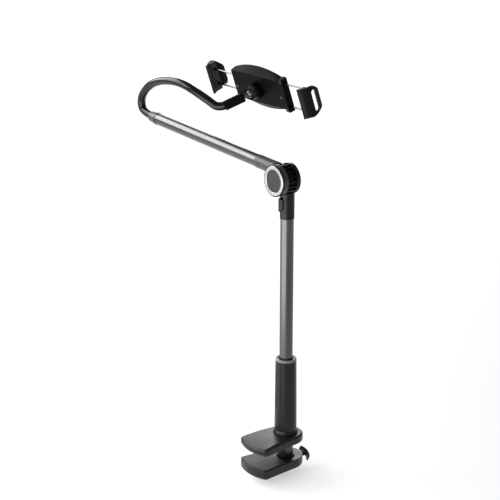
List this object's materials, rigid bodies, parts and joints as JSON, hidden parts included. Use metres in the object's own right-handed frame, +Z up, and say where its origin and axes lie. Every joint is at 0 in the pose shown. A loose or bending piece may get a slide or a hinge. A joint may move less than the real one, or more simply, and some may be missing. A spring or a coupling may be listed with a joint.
{
  "type": "clamp-on phone holder arm",
  "caption": "Desk clamp with a swivelling mast, a hinged arm, a bendable neck and a sprung holder whose two jaws slide out to grip a phone or tablet",
  "frame": {"origin": "on the mast's axis at the height of the desk top, which the upper clamp pad rests on", "axes": "+Z up along the mast, -X along the arm, -Y out of the hinge drum's face; the clamp reaches toward -Y"},
  "size_m": [0.4439, 0.1662, 0.649],
  "materials": {
    "black_plastic": "moulded, lightly grained",
    "pad_rubber": "soft matt",
    "mast_metal": "anodised, fine brushed",
    "arm_metal": "anodised, fine brushed",
    "joint_plastic": "moulded, matt",
    "disc_plastic": "satin",
    "silver_trim": "satin",
    "light_plastic": "moulded",
    "neck_plastic": "smooth gloss",
    "neck_metal": "wound core",
    "bright_steel": "polished",
    "dark_steel": "black oxide",
    "brass": "turned"
  },
  "bodies": {
    "clamp": {"upper_jaw": "black_plastic", "upper_pad": "pad_rubber", "column": "dark_steel", "flange_screws": "dark_steel", "base_sleeve": "black_plastic", "sleeve_ring": "light_plastic", "lower_bush": "black_plastic"},
    "lower_jaw": {"lower_jaw": "black_plastic", "lower_pad": "pad_rubber", "guide_collar": "black_plastic", "screw_insert": "brass"},
    "wing": {"wing_screw": "dark_steel", "wing_handle": "black_plastic"},
    "mast": {"mast_tube": "mast_metal", "mast_plug": "black_plastic", "swivel_bolt": "dark_steel", "thrust_washer": "dark_steel", "joint_neck": "joint_plastic", "pivot_bolt": "dark_steel", "pivot_nut": "dark_steel", "friction_washers": "dark_steel", "latch_spring": "dark_steel"},
    "latch": {"release_latch": "joint_plastic", "ratchet_pawl": "dark_steel"},
    "arm": {"arm_head": "joint_plastic", "ratchet_ring": "dark_steel", "head_rim": "black_plastic", "ring_trim": "silver_trim", "disc_cap": "disc_plastic", "arm_tube": "arm_metal", "arm_ferrule": "joint_plastic", "gooseneck_core": "neck_metal", "gooseneck_cover": "neck_plastic"},
    "neck_tip": {"end_sleeve": "black_plastic"},
    "ball_stud": {"ball_stud": "dark_steel", "stud_clip": "dark_steel"},
    "ball_seat": {"ball_seat": "black_plastic"},
    "tray": {"tray_back": "black_plastic", "tray_front": "black_plastic", "tray_pad": "pad_rubber", "end_bracket_left": "black_plastic", "end_bracket_right": "black_plastic", "tray_screws": "dark_steel", "bracket_screws": "dark_steel", "jaw_springs_left": "bright_steel", "jaw_springs_right": "bright_steel"},
    "lock_nut": {"lock_nut": "black_plastic"},
    "jaw_left": {"jaw_left": "black_plastic", "jaw_pad_left": "pad_rubber", "rods_left": "bright_steel", "rod_stops_left": "bright_steel"},
    "jaw_right": {"jaw_right": "black_plastic", "jaw_pad_right": "pad_rubber", "rods_right": "bright_steel", "rod_stops_right": "bright_steel"}
  },
  "joints": [
    {"name": "mast_swivel", "type": "hinge", "parent": "clamp", "child": "mast", "pos_m": [0, 0, 0.02], "axis": [0, 0, 1], "continuous": true},
    {"name": "jaw_slide", "type": "slide", "parent": "clamp", "child": "lower_jaw", "axis": [0, 0, -1], "range_m": [-0.0235, 0.013]},
    {"name": "wing_turn", "type": "hinge", "parent": "lower_jaw", "child": "wing", "pos_m": [0, 0.035, -0.035], "axis": [0, 1, 0], "range_deg": [-360, 0]},
    {"name": "latch_slide", "type": "slide", "parent": "mast", "child": "latch", "axis": [0, 0, -1], "range_m": [0, 0.005], "stiffness_N_per_m": 400, "springref_m": -0.003, "deforming": ["latch_spring"]},
    {"name": "arm_hinge", "type": "hinge", "parent": "mast", "child": "arm", "pos_m": [0, 0, 0.451], "axis": [0, 1, 0], "range_deg": [-55, 85]},
    {"name": "gooseneck_flex", "type": "hinge", "parent": "arm", "child": "neck_tip", "pos_m": [-0.26, -0.016, 0.562], "axis": [0, 1, 0], "range_deg": [-15, 15], "deforming": ["gooseneck_cover", "gooseneck_core"]},
    {"name": "stud_turn", "type": "hinge", "parent": "neck_tip", "child": "ball_stud", "pos_m": [-0.15702, 0.04617, 0.55544], "axis": [-0.5175, -0.7401, -0.4295], "range_deg": [-170, 120]},
    {"name": "ball_tilt", "type": "hinge", "parent": "ball_stud", "child": "ball_seat", "pos_m": [-0.15702, 0.04617, 0.55544], "axis": [0.304, 0.3102, -0.9008], "range_deg": [-9, 74]},
    {"name": "holder_turn", "type": "hinge", "parent": "ball_seat", "child": "tray", "pos_m": [-0.15702, 0.04617, 0.55544], "axis": [0, -0.9455, -0.3256], "continuous": true},
    {"name": "nut_turn", "type": "hinge", "parent": "tray", "child": "lock_nut", "pos_m": [-0.15702, 0.05279, 0.55772], "axis": [0, -0.9455, -0.3256], "range_deg": [-180, 0]},
    {"name": "left_jaw_slide", "type": "slide", "parent": "tray", "child": "jaw_left", "axis": [-1, 0, 0], "range_m": [-0.044, 0.03], "deforming": ["jaw_springs_left"]},
    {"name": "right_jaw_slide", "type": "slide", "parent": "tray", "child": "jaw_right", "axis": [1, 0, 0], "range_m": [-0.044, 0.03], "deforming": ["jaw_springs_right"]}
  ]
}
